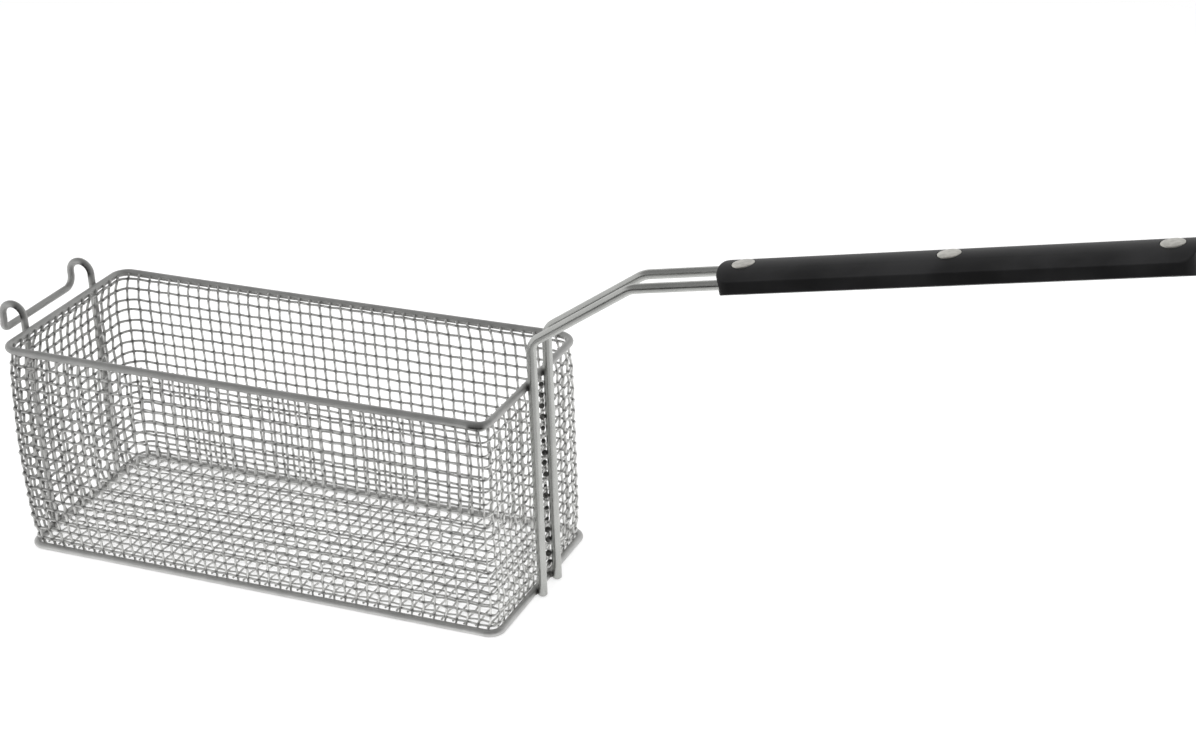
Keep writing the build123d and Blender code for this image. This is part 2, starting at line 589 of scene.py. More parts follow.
@dataclass
class WireBundle:
    """Round wires gathered into one mesh, with what their finish reads stored at each vertex.

    Args:
        sides: how many sides each wire has.
        burns_and_shade: dark spots for weld burns and for painted dark reflections: a place and a reach in
            each row.
        rng: the source of each wire's own shade and streaks.
        streak_run: the length of drawing lines that each wire's are taken from.
        chamfer: how long a cut end's chamfer is, as a share of the radius.
        cut_share: the share of the radius that a cut end keeps.
        vertices: the vertices of the wires laid so far.
        places: each vertex's place round and along its wire.
        shades: its wire's shade, from 0 to 1.
        painted_shade_and_plating: how dark it is painted where another wire crosses, as painted contact
            shade and plating build-up, and as painted shade bands.
        faces: the vertex numbers of each face.
        count: how many vertices there are.
    """

    sides: int
    burns_and_shade: np.ndarray | None = None
    rng: np.random.Generator = field(default_factory=Draws.WIRES.source)
    streak_run: float = 4000.0
    chamfer: float = 0.3
    cut_share: float = 0.72
    vertices: list[np.ndarray] = field(default_factory=list)
    places: list[np.ndarray] = field(default_factory=list)
    shades: list[np.ndarray] = field(default_factory=list)
    painted_shade_and_plating: list[np.ndarray] = field(default_factory=list)
    faces: list[list[int]] = field(default_factory=list)
    count: int = 0

    def lay(
        self,
        paths: np.ndarray,
        radius: float,
        reference: Sequence[float] | np.ndarray,
        ends: WireEnds,
        profile: np.ndarray | None = None,
        painted_shade_and_plating: np.ndarray | None = None,
    ) -> None:
        """Adds wires of one length in samples.

        Args:
            paths: wires by samples by 3.
            radius: the wire's radius.
            reference: a direction across all the wires at their starts, or one for each wire.
            ends: whether each wire is cut off or joined into a ring.
            profile: the share of the radius at each sample, or at each sample of each wire.
            painted_shade_and_plating: how dark each sample is painted, as painted contact shade and plating
                build-up where another wire crosses it and as painted shade bands, from 0 to 1.
        """
        painted_shade_and_plating = np.zeros(paths.shape[:2]) if painted_shade_and_plating is None else np.broadcast_to(painted_shade_and_plating, paths.shape[:2])
        if profile is not None:
            radii = radius * profile
        elif ends is WireEnds.CUT:
            paths, radii = self.with_cut_ends(paths, radius)
            painted_shade_and_plating = np.pad(painted_shade_and_plating, ((0, 0), (1, 1)), "edge")
        else:
            radii = np.full(paths.shape[1], radius)
        tangents = self.tangents(paths, ends)
        across = self.carried(tangents, reference)
        beside = np.cross(tangents, across)
        angles = 2 * math.pi * np.arange(self.sides) / self.sides
        cosines = np.cos(angles)[:, None]
        sines = np.sin(angles)[:, None]
        spokes = cosines * across[:, :, None] + sines * beside[:, :, None]
        rings = paths[:, :, None] + radii[..., None, None] * spokes
        steps = np.linalg.norm(np.diff(paths, axis=1, prepend=paths[:, :1]), axis=2)
        along = np.cumsum(steps, axis=1) + self.rng.uniform(0, self.streak_run, (len(paths), 1))
        place = np.empty(rings.shape)
        place[..., 0] = radius * np.cos(angles)
        place[..., 1] = radius * np.sin(angles)
        place[..., 2] = along[:, :, None]
        shade = self.rng.uniform(0, 1, (len(paths), 1, 1))
        self.vertices.append(rings.reshape(-1, 3))
        self.places.append(place.reshape(-1, 3))
        self.shades.append(np.broadcast_to(shade, rings.shape[:3]).ravel())
        self.painted_shade_and_plating.append(np.broadcast_to(painted_shade_and_plating[..., None], rings.shape[:3]).ravel())
        self.faces.extend(self.skin(len(paths), paths.shape[1], ends))
        self.count += rings.shape[0] * rings.shape[1] * self.sides

    def skin(self, wires: int, samples: int, ends: WireEnds) -> list[list[int]]:
        """The faces between the rings of vertices, and the cut ends.

        Args:
            wires: how many wires were laid.
            samples: how many rings each has.
            ends: whether the last ring joins the first.

        Returns:
            The vertex numbers of each face.
        """
        index = self.count + np.arange(wires * samples * self.sides).reshape(wires, samples, self.sides)
        after = np.roll(index, -1, axis=2)
        if ends is WireEnds.JOINED:
            here, there = index, np.roll(index, -1, axis=1)
            here_after, there_after = after, np.roll(after, -1, axis=1)
        else:
            here, there = index[:, :-1], index[:, 1:]
            here_after, there_after = after[:, :-1], after[:, 1:]
        quads = np.stack([here, here_after, there_after, there], axis=-1).reshape(-1, 4)
        faces = quads.tolist()
        if ends is WireEnds.CUT:
            faces.extend(index[:, 0, ::-1].tolist())
            faces.extend(index[:, -1].tolist())
        return faces

    def with_cut_ends(self, paths: np.ndarray, radius: float) -> tuple[np.ndarray, np.ndarray]:
        """Gives each end of a wire the small chamfer that a cutter leaves.

        Args:
            paths: wires by samples by 3.
            radius: the wire's radius.

        Returns:
            The paths with one more sample near each end, and the radius at each sample.
        """
        lead = unit(paths[:, 1] - paths[:, 0]) * radius * self.chamfer
        tail = unit(paths[:, -2] - paths[:, -1]) * radius * self.chamfer
        inner = paths[:, 1:-1]
        first, last = paths[:, 0], paths[:, -1]
        rows = [first[:, None], (first + lead)[:, None], inner, (last + tail)[:, None], last[:, None]]
        joined = np.concatenate(rows, axis=1)
        radii = np.full(joined.shape[1], radius)
        radii[[0, -1]] = radius * self.cut_share
        return joined, radii

    @staticmethod
    def tangents(paths: np.ndarray, ends: WireEnds) -> np.ndarray:
        """Each wire's direction at each sample.

        Args:
            paths: wires by samples by 3.
            ends: whether the last sample runs on into the first.

        Returns:
            Directions of length one, in the shape of the paths.
        """
        if ends is WireEnds.JOINED:
            return unit(np.roll(paths, -1, axis=1) - np.roll(paths, 1, axis=1))
        ahead = np.concatenate([paths[:, 1:], paths[:, -1:]], axis=1)
        behind = np.concatenate([paths[:, :1], paths[:, :-1]], axis=1)
        return unit(ahead - behind)

    @staticmethod
    def carried(tangents: np.ndarray, reference: Sequence[float] | np.ndarray) -> np.ndarray:
        """Carries a direction along each wire so that it never twists.

        Args:
            tangents: each wire's direction at each sample.
            reference: a direction across all the wires at their starts, or one for each wire.

        Returns:
            A direction across the wire at each sample.
        """
        across = np.empty_like(tangents)
        carry = np.broadcast_to(np.asarray(reference, float), tangents[:, 0].shape)
        for sample in range(tangents.shape[1]):
            tangent = tangents[:, sample]
            carry = unit(carry - (carry * tangent).sum(1, keepdims=True) * tangent)
            across[:, sample] = carry
        return across

    def burn_and_shade(self, vertices: np.ndarray) -> np.ndarray:
        """How dark the plate is: weld burns, with painted contact shade, plating, painted shade bands and
        painted dark reflections.

        Args:
            vertices: all the bundle's vertices.

        Returns:
            A share for each vertex, from 0 to 1.
        """
        burn_and_shade = np.concatenate(self.painted_shade_and_plating)
        if self.burns_and_shade is not None:
            for burn in self.burns_and_shade:
                away = np.linalg.norm(vertices - burn[:3], axis=1) / burn[3]
                burn_and_shade = np.maximum(burn_and_shade, np.exp(-(away**2)))
        return burn_and_shade

    def piece(self, name: str) -> bpy.types.Object:
        """Makes the Blender object, in metres, with its attributes and smooth faces.

        Args:
            name: the piece's name.

        Returns:
            The object, in the scene.
        """
        vertices = np.concatenate(self.vertices)
        mesh = bpy.data.meshes.new(name)
        mesh.from_pydata((vertices * MM).tolist(), [], self.faces)
        mesh.attributes.new("wire_place", "FLOAT_VECTOR", "POINT").data.foreach_set(
            "vector", np.concatenate(self.places).astype(np.float32).ravel()
        )
        # the first attribute holds weld burns plus painted contact shade, painted shade bands and painted
        # dark reflections
        for key, values in (("burn_and_shade", self.burn_and_shade(vertices)), ("shade", np.concatenate(self.shades))):
            mesh.attributes.new(key, "FLOAT", "POINT").data.foreach_set("value", values.astype(np.float32))
        mesh.shade_smooth()
        return placed(name, mesh)


def placed(name: str, data: bpy.types.ID) -> bpy.types.Object:
    """Puts a new object into the scene.

    Args:
        name: the object's name.
        data: its mesh, lamp or camera.

    Returns:
        The object.
    """
    made = bpy.data.objects.new(name, data)
    bpy.context.scene.collection.objects.link(made)
    return made


def spots(places: np.ndarray, reach: float) -> np.ndarray:
    """Dark spots of one reach round these places, for weld burns and for painted dark reflections."""
    return np.column_stack([places, np.full(len(places), reach)])


def dress(piece: bpy.types.Object, coat: Coat, *nodes: str) -> None:
    """Gives a piece its finish, its body and the nodes that it stands for.

    Args:
        piece: the new piece, in place.
        coat: its finish.
        nodes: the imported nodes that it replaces, if any.
    """
    piece.data.materials.append(coat.material)
    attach(piece, BODY)
    if nodes:
        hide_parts(*nodes)
    triangles = sum(len(face.vertices) - 2 for face in piece.data.polygons)
    log.info("%s: %d triangles", piece.name, triangles)


@dataclass
class Ring:
    """A closed ring of round wire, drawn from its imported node.

    Args:
        node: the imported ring.
        name: the piece's name.
        draws: the source of its slight waves.
        radii: its corner radii, from the near one at the handle's end, round the far side.
        dip: how far its long sides hang down in the middle.
        sag: how far its waves reach inwards.
        step: about how far apart its samples are.
        sides: how many sides its section has.
    """

    node: str
    name: str
    draws: Draws
    radii: CornerRadii
    dip: float = 0.0
    sag: float = 0.2
    step: float = 2.5
    sides: int = 24

    def build(self, burns_and_shade: np.ndarray, coat: Coat) -> None:
        """Makes the ring.

        Args:
            burns_and_shade: the spots that its welds have burnt, and on the rim the painted dark reflection
                by its bend.
            coat: its plate.
        """
        extent = Extent.of(self.node)
        wire = extent.size[2]
        half_length, half_width = (extent.size[:2] - wire) / 2
        height = extent.middle[2]
        corners = [
            (half_length, -half_width, height),
            (half_length, half_width, height),
            (-half_length, half_width, height),
            (-half_length, -half_width, height),
        ]
        route = rounded_route(corners, self.radii, self.step, closed=True)
        tangent = WireBundle.tangents(route[None], WireEnds.JOINED)[0]
        inward = np.cross(np.array(UP), tangent)
        steps = np.linalg.norm(np.diff(route, axis=0, prepend=route[:1]), axis=1)
        places = np.cumsum(steps)
        route = route + inward * ripple(places, places[-1], self.sag, self.draws.source())[:, None]
        route[:, 2] -= self.dip * (1 - (route[:, 0] / half_length) ** 2)
        bundle = WireBundle(self.sides, burns_and_shade)
        bundle.lay(route[None], wire / 2, UP, WireEnds.JOINED)
        dress(bundle.piece(self.name), coat, self.node)


@dataclass(frozen=True)
class Band:
    """A level loop with four straight sides and four round corners.

    Args:
        half_length: how far its ends are from the middle.
        half_width: how far its sides are from the middle.
        radii: its corner radii, from the far one at the hooks' end, round the near side.
    """

    half_length: float
    half_width: float
    radii: CornerRadii

    @property
    def runs(self) -> list[float]:
        """The lengths of its straights and corners.

        Returns:
            The lengths in turn, from the middle of the far side round the hooks' end.
        """
        reaches = (self.half_length, self.half_width)
        runs = [self.half_length - self.radii[0]]
        for corner, radius in enumerate(self.radii):
            last = corner + 1 == len(self.radii)
            after = self.half_length if last else self.radii[corner + 1]
            runs += [radius * math.pi / 2, 2 * reaches[(corner + 1) % 2] - radius - after]
        return runs

    @property
    def around(self) -> float:
        """Its whole length."""
        return sum(self.runs)

    def places(self, shares: np.ndarray) -> tuple[np.ndarray, np.ndarray]:
        """Points and outward directions on the band.

        Args:
            shares: how far round the band, as shares of its length.

        Returns:
            The points and the directions, with a height of zero.
        """
        starts = np.concatenate([[0.0], np.cumsum(self.runs)])
        gone = np.mod(shares, 1.0) * self.around
        points = np.zeros((*gone.shape, 3))
        outward = np.zeros_like(points)
        position = np.array([0.0, self.half_width])
        heading = math.pi
        for index, run in enumerate(self.runs):
            inside = (gone >= starts[index]) & (gone <= starts[index + 1])
            here = gone[inside] - starts[index]
            facing = np.full(len(here), heading - math.pi / 2)
            if index % 2:
                radius = self.radii[index // 2]
                facing = facing + here / radius
                centre = position + radius * np.array([-math.sin(heading), math.cos(heading)])
                points[inside, :2] = centre + radius * self.rays(facing)
                heading += math.pi / 2
                position = centre + radius * self.rays(np.array(heading - math.pi / 2))
            else:
                direction = self.rays(np.array(heading))
                points[inside, :2] = position + here[:, None] * direction
                position = position + run * direction
            outward[inside, :2] = self.rays(facing)
        return points, outward

    @staticmethod
    def rays(angles: np.ndarray) -> np.ndarray:
        """Level directions of length one."""
        return np.stack([np.cos(angles), np.sin(angles)], axis=-1)


@dataclass
class WallWeave:
    """The wall's woven band: closed level wires and upright wires, each bent over the other.

    A share of the band's length runs from the middle of the far side, round the hooks' end.

    Args:
        pitch: how far apart the uprights are.
        level_pitch: how far apart the level wires are.
        wire: the wire's diameter.
        crimp: how far each wire bends to either side.
        ring_radii: the band's corner radii inside the rings, in Band's order.
        bare_radii: its corner radii between them.
        bulge: how far the band stands out between the rings.
        bulge_power: how quickly it comes back in at the rings.
        hook_bulge: how much farther it stands out at the hooks' end.
        belly: how much farther its near side stands out at half height.
        belly_power: how closely that keeps to half height.
        crossing_shade_and_plating: how dark its crossings are painted, as painted contact shade and plating
            build-up.
        knot_power: how narrow their dark marks are.
        painted_shade: how much darker the wires are painted as painted shade, by share of its length.
        swells: how much thicker the wires are, by share of its length.
        slips: how far the uprights have slid along the band, by share of its length.
        sways: how far the level wires have risen, by share of its length.
        top_gap: how far the top level wire is below the band's top.
        stub_rise: the least and the most that an upright's end stands above that.
        level_count: how many level wires there are.
        segments: how many samples a wire has for each pitch.
        sides: how many sides a wire has.
        waver: how much the wires stray from their even places.
        phase: how far back along the band the first upright is.
        handle_share: where the middle of the handle's end is, as a share of its length.
        tie_reach: how far a tie to the handle has burnt the wires.
        tie_scatter: how much the ties stray along, across and up.
    """

    pitch: float = 7.8
    level_pitch: float = 7.81
    wire: float = 1.55
    crimp: float = 0.34
    ring_radii: CornerRadii = (6.2, 6.2, 6.2, 6.2)
    bare_radii: CornerRadii = (12.0, 4.0, 4.0, 4.0)
    bulge: float = 1.9
    bulge_power: float = 8.0
    hook_bulge: float = 1.8
    belly: float = 2.6
    belly_power: int = 3
    crossing_shade_and_plating: float = 0.6
    knot_power: int = 8
    # painted shade: darker bands round the hooks' end and beside the handle's far leg
    painted_shade: Table = (
        (0.15, 0.04), (0.2, 0.22), (0.31, 0.24), (0.38, 0.0), (0.75, 0.0), (0.79, 0.1), (0.84, 0.0),
    )
    swells: Table = (
        (0.15, 0.0), (0.2, 0.2), (0.32, 0.18), (0.42, 0.0), (0.6, -0.06), (0.75, -0.15), (0.79, 0.1),
    )
    slips: Table = ((0.16, 0.2), (0.22, 4.6), (0.28, 3.8), (0.64, 3.7), (0.75, -1.2), (0.84, 0.0))
    sways: Table = ((0.16, -0.3), (0.25, -0.5), (0.36, -1.4), (0.64, -1.5), (0.75, -3.5), (0.84, -0.3))
    top_gap: float = 2.9
    stub_rise: tuple[float, float] = (0.0, 0.7)
    level_count: int = 18
    segments: int = 4
    sides: int = 8
    waver: float = 0.16
    phase: float = 2.6
    handle_share: float = 0.75
    tie_reach: float = 3.0
    tie_scatter: tuple[float, float, float] = (0.0, 0.35, 0.5)

    def __post_init__(self) -> None:
        """Reads the band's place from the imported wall."""
        extent = Extent.of("wall_mesh")
        reach = self.wire / 2 + self.crimp
        self.half_length, self.half_width = extent.high[:2] - reach
        self.foot = float(extent.low[2])
        self.top = float(extent.high[2])
        self.levels = self.top - self.top_gap - self.level_pitch * np.arange(self.level_count)
        self.around = self.band((self.foot + self.top) / 2).around
        self.upright_count = 2 * round(self.around / self.pitch / 2)

    def from_middle(self, height: float) -> float:
        """How far a height is from the band's middle one, from -1 at its foot to 1 at its top."""
        return 2 * float(np.clip((height - self.foot) / (self.top - self.foot), 0, 1)) - 1

    def fullness(self, height: float) -> float:
        """How freely the band stands out at one height, from 0 inside a ring to 1 between them."""
        return 1 - abs(self.from_middle(height)) ** self.bulge_power

    def band(self, height: float) -> Band:
        """The band's middle line.

        Args:
            height: the height that it is wanted at.

        Returns:
            A loop whose corners open out between the rings.
        """
        full = self.fullness(height)
        out = self.bulge * full
        radii = [ring + (bare - ring) * full for ring, bare in zip(self.ring_radii, self.bare_radii)]
        return Band(self.half_length + out, self.half_width + out, tuple(radii))

    def shares(self, steps: np.ndarray, drift: np.ndarray | float = 0.0) -> np.ndarray:
        """Where steps round the band fall on it, once the uprights have slid.

        Args:
            steps: even steps, as shares of one turn.
            drift: how far each has wandered besides, in millimetres.

        Returns:
            Shares of the band's length.
        """
        slid = self.read(self.slips, steps) + drift - self.phase
        return steps + slid / self.around

    @staticmethod
    def read(table: Table, shares: np.ndarray | float) -> np.ndarray:
        """Reads a table of amounts round the band."""
        places, amounts = zip(*table)
        return np.interp(shares, places, amounts, period=1.0)

    def places(self, height: float, shares: np.ndarray) -> tuple[np.ndarray, np.ndarray]:
        """Points and outward directions, drawn out at the hooks' end and the near side.

        Args:
            height: the height that they are wanted at.
            shares: how far round the band they are.

        Returns:
            The points and the directions, with a height of zero.
        """
        points, outward = self.band(height).places(shares)
        reach = self.hook_bulge * self.fullness(height)
        points[..., 0] -= reach * (1 - points[..., 0] / self.half_length) / 2
        belly = self.belly * (1 - self.from_middle(height) ** 2) ** self.belly_power
        points[..., 1] -= belly * np.clip(1 - points[..., 1] / self.half_width, 0, 2) / 2
        return points, outward

    def ties(self, handle: "Handle") -> np.ndarray:
        """Where the handle's far leg is spot-welded to each level wire.

        Args:
            handle: the handle.

        Returns:
            The points, between the wires and the near side of the leg.
        """
        rng = Draws.TIES.source()
        y = handle.rod_side - handle.tie_shift
        heights = self.levels + self.read(self.sways, self.handle_share + y / self.around)
        ties = np.array([(handle.tie_x, y, height) for height in heights])
        return ties + rng.normal(0, 1, ties.shape) * np.array(self.tie_scatter)

    def build(self, ties: np.ndarray, coat: Coat) -> None:
        """Weaves the level wires and the uprights.

        Args:
            ties: where the wires are welded to the handle.
            coat: their plate.
        """
        rng = Draws.WALL.source()
        lift = rng.normal(0, self.waver, self.level_count)
        drift = rng.normal(0, self.waver, self.upright_count)
        stubs = rng.uniform(*self.stub_rise, self.upright_count)
        burns_and_shade = spots(ties, self.tie_reach)
        bundles = {
            Weave.LEVEL: self.level_wires(lift, burns_and_shade),
            Weave.UPRIGHT: self.upright_wires(drift, stubs, burns_and_shade),
        }
        for weave, bundle in bundles.items():
            dress(bundle.piece(f"wall_{weave.value}_wires"), coat, "wall_mesh")

    def level_wires(self, lift: np.ndarray, burns_and_shade: np.ndarray) -> WireBundle:
        """Weaves the closed wires that run round the band.

        Args:
            lift: how far each strays from its even height.
            burns_and_shade: the spots that are burnt.

        Returns:
            The wires.
        """
        samples = self.upright_count * self.segments
        steps = np.arange(samples)
        swing = np.cos(math.pi * steps / self.segments)
        crimp = self.crimp * swing
        shares = self.shares(steps / samples)
        sway = self.read(self.sways, shares)
        paths = np.empty((self.level_count, samples, 3))
        for level, height in enumerate(self.levels + lift):
            points, outward = self.places(height, shares)
            side = 1 if level % 2 == 0 else -1
            paths[level] = points + outward * (side * crimp)[:, None]
            paths[level, :, 2] = height + sway
        # painted contact shade and plating build-up at each crossing, plus the painted shade bands
        painted_shade_and_plating = self.crossing_shade_and_plating * swing**self.knot_power + self.read(self.painted_shade, shares)
        swell = 1 + self.read(self.swells, shares)
        bundle = WireBundle(self.sides, burns_and_shade)
        bundle.lay(paths, self.wire / 2, UP, WireEnds.JOINED, swell, painted_shade_and_plating)
        return bundle

    def upright_wires(self, drift: np.ndarray, stubs: np.ndarray, burns_and_shade: np.ndarray) -> WireBundle:
        """Weaves the upright wires, from the base ring to a little above the middle of the rim.

        Args:
            drift: how far each strays along the band.
            stubs: how far each stands above the band's top.
            burns_and_shade: the spots that are burnt.

        Returns:
            The wires.
        """
        count = self.upright_count
        shares = self.shares(np.arange(count) / count, drift)
        first = self.levels[0] + self.read(self.sways, shares)
        samples = round((self.top - self.foot) / self.level_pitch * self.segments) + 1
        heights = np.linspace(self.foot, self.top, samples)
        sides = np.where(np.arange(count) % 2 == 0, -self.crimp, self.crimp)
        paths = np.empty((count, samples, 3))
        for sample, height in enumerate(heights):
            points, outward = self.places(height, shares)
            swing = np.cos(math.pi * (first - height) / self.level_pitch)
            paths[:, sample] = points + outward * (sides * swing)[:, None]
            paths[:, sample, 2] = height
        paths[:, -1, 2] += stubs
        swings = np.cos(math.pi * (first[:, None] - heights) / self.level_pitch)
        # painted contact shade and plating build-up at each crossing, plus the painted shade bands
        painted_shade_and_plating = self.crossing_shade_and_plating * swings**self.knot_power + self.read(self.painted_shade, shares)[:, None]
        swell = np.repeat(1 + self.read(self.swells, shares)[:, None], samples, axis=1)
        bundle = WireBundle(self.sides, burns_and_shade)
        bundle.lay(paths, self.wire / 2, outward, WireEnds.CUT, swell, painted_shade_and_plating)
        return bundle


@dataclass
class FloorWeave:
    """The floor's woven panel, cut to fit inside the wall band.

    Args:
        pitch: how far apart neighbouring wires are.
        wire: the wire's diameter.
        crimp: how far each wire bends to either side.
        margins: how far the outer wires are from the panel's ends and sides, at least.
        crossing_shade_and_plating: how dark its crossings are painted, as painted contact shade and plating
            build-up.
        knot_power: how narrow their dark marks are.
        segments: how many samples a wire has for each pitch.
        sides: how many sides a wire has.
        waver: how much the wires stray from their even places.
    """

    pitch: float = 7.8
    wire: float = 1.4
    crimp: float = 0.34
    margins: tuple[float, float] = (1.4, 4.0)
    crossing_shade_and_plating: float = 0.2
    knot_power: int = 4
    segments: int = 4
    sides: int = 8
    waver: float = 0.12

    def build(self, coat: Coat) -> None:
        """Weaves the long wires and the cross wires.

        Args:
            coat: their plate.
        """
        extent = Extent.of("floor_mesh")
        rng = Draws.FLOOR.source()
        half = extent.high[:2]
        counts = [int(2 * (size - margin) // self.pitch) + 1 for size, margin in zip(half, self.margins)]
        rows = [(np.arange(count) - (count - 1) / 2) * self.pitch for count in counts]
        for weave, axis in ((Weave.LONG, 0), (Weave.CROSS, 1)):
            other = 1 - axis
            samples = round(2 * half[axis] / self.pitch * self.segments) + 1
            along = np.linspace(-half[axis], half[axis], samples)
            swing = np.cos(math.pi * (along - rows[axis][0]) / self.pitch)
            start = 1 if weave is Weave.LONG else -1
            sides = np.where(np.arange(counts[other]) % 2 == 0, start, -start)
            paths = np.empty((counts[other], samples, 3))
            paths[..., axis] = along
            paths[..., other] = (rows[other] + rng.normal(0, self.waver, counts[other]))[:, None]
            paths[..., 2] = extent.middle[2] + sides[:, None] * self.crimp * swing
            bundle = WireBundle(self.sides)
            # painted contact shade and plating build-up at each crossing
            bundle.lay(paths, self.wire / 2, UP, WireEnds.CUT, painted_shade_and_plating=self.crossing_shade_and_plating * swing**self.knot_power)
            dress(bundle.piece(f"floor_{weave.value}_wires"), coat, "floor_mesh")


@dataclass
class HookWire:
    """The wire with two hooks that hang the basket on the fryer's rail.

    Args:
        wire: the wire's diameter.
        hook_radius: the radius of each hook's arch above its leg.
        outer_radius: its radius on the outer side.
        lean_rise: how far above the crossbar the hooks begin to lean out.
        crossbar_drop: how far the crossbar is below the rim's middle.
        bend_radii: the radii of the lean and of the crossbar's ends.
        painted_reflection_angles: where on the arch a painted dark reflection is laid, in degrees up from
            level.
        painted_reflection_depth: how far inside the wire's middle line those marks are.
        painted_reflection_reach: how far each mark reaches.
        step: about how far apart the wire's samples are.
        sides: how many sides its section has.
    """

    wire: float = 4.7
    hook_radius: float = 8.1
    outer_radius: float = 8.0
    lean_rise: float = 7.2
    crossbar_drop: float = 3.0
    bend_radii: tuple[float, float] = (12.0, 5.5)
    painted_reflection_angles: tuple[float, ...] = (8.0, 24.0, 40.0, 56.0)
    painted_reflection_depth: float = 0.8
    painted_reflection_reach: float = 2.3
    step: float = 2.0
    sides: int = 24

    def __post_init__(self) -> None:
        """Reads the wire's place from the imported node."""
        extent = Extent.of("hanger_wire")
        self.leg_x = extent.high[0] - self.wire / 2
        self.near_y = extent.low[1] + self.wire / 2
        self.far_y = extent.high[1] - self.wire / 2
        self.foot = extent.low[2]
        self.top = extent.high[2] - self.wire / 2
        self.crossbar_x = extent.low[0] + self.wire / 2
        self.crossbar_height = Extent.of("top_rim").middle[2] - self.crossbar_drop

    def build(self, coat: Coat) -> None:
        """Bends the wire up one leg, over its hook, along the crossbar and down the other.

        Args:
            coat: its plate.
        """
        outer_x = self.leg_x - 2 * self.hook_radius
        half = [
            (self.leg_x, self.foot),
            (self.leg_x, self.top),
            (outer_x, self.top),
            (outer_x, self.crossbar_height + self.lean_rise),
            (self.crossbar_x, self.crossbar_height),
        ]
        corners = [(x, self.near_y, z) for x, z in half] + [(x, self.far_y, z) for x, z in reversed(half)]
        radii = [self.hook_radius, self.outer_radius, *self.bend_radii]
        route = rounded_route(corners, radii + radii[::-1], self.step)
        # painted reflections: dark streaks on the hooks' arches
        bundle = WireBundle(self.sides, spots(self.painted_reflections, self.painted_reflection_reach))
        bundle.lay(route[None], self.wire / 2, ACROSS, WireEnds.CUT)
        dress(bundle.piece("hook_wire"), coat, "hanger_wire")

    @property
    def painted_reflections(self) -> np.ndarray:
        """Where painted dark reflections are laid on the near side of both hooks.

        Returns:
            The marks' middles, one row each.
        """
        reach = self.hook_radius - self.painted_reflection_depth
        marks = []
        for angle in np.radians(self.painted_reflection_angles):
            x = self.leg_x - self.hook_radius + reach * math.cos(angle)
            z = self.top - self.hook_radius + reach * math.sin(angle)
            marks += [(x, y - self.wire / 2, z) for y in (self.near_y, self.far_y)]
        return np.array(marks)


@dataclass
class Handle:
    """The hairpin handle rod, as it runs from the base ring into the grip.

    Args:
        wire: the rod's diameter.
        lower_bend_rise: how far above the rim's middle it bends outwards.
        slope: how far it runs and rises from there to its upper bend.
        bend_radii: the radii of those two bends.
        hairpin_radius: the radius of its closed end's corners.
        rod_past_rivet: how far past the rear rivet its closed end is.
        tie_shift: how far towards the middle the ties are from the far leg.
        tie_inset: how far towards the basket they are from it.
        step: about how far apart the rod's samples are.
        sides: how many sides its section has.
    """

    wire: float = 6.0
    lower_bend_rise: float = 30.4
    slope: tuple[float, float] = (64.6, 43.6)
    bend_radii: tuple[float, float] = (11.0, 17.0)
    hairpin_radius: float = 11.0
    rod_past_rivet: float = 8.7
    tie_shift: float = 2.3
    tie_inset: float = 4.1
    step: float = 2.5
    sides: int = 32

    def __post_init__(self) -> None:
        """Reads the rod's place and the grip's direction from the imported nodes."""
        extent = Extent.of("handle_rod")
        self.rod_x = extent.low[0] + self.wire / 2
        self.rod_side = extent.high[1] - self.wire / 2
        self.foot = extent.low[2]
        front = Extent.of("grip_rivet_front").middle
        rear = Extent.of("grip_rivet_rear").middle
        self.hairpin = rear + unit(rear - front) * self.rod_past_rivet
        self.rim_height = Extent.of("top_rim").middle[2]
        self.tie_x = self.rod_x - self.tie_inset

    def build(self, burns_and_shade: np.ndarray, coat: Coat) -> None:
        """Bends the rod up the end wall, out over two bends and back inside the grip.

        Args:
            burns_and_shade: the spots that its welds have burnt.
            coat: its plate.
        """
        bend_height = self.rim_height + self.lower_bend_rise
        half = [
            (self.rod_x, self.foot),
            (self.rod_x, bend_height),
            (self.rod_x + self.slope[0], bend_height + self.slope[1]),
            (self.hairpin[0], self.hairpin[2]),
        ]
        side = self.rod_side
        corners = [(x, -side, z) for x, z in half] + [(x, side, z) for x, z in reversed(half)]
        radii = [*self.bend_radii, self.hairpin_radius]
        route = rounded_route(corners, radii + radii[::-1], self.step)
        bundle = WireBundle(self.sides, burns_and_shade)
        bundle.lay(route[None], self.wire / 2, ACROSS, WireEnds.CUT)
        dress(bundle.piece("handle_rods"), coat, "handle_rod")


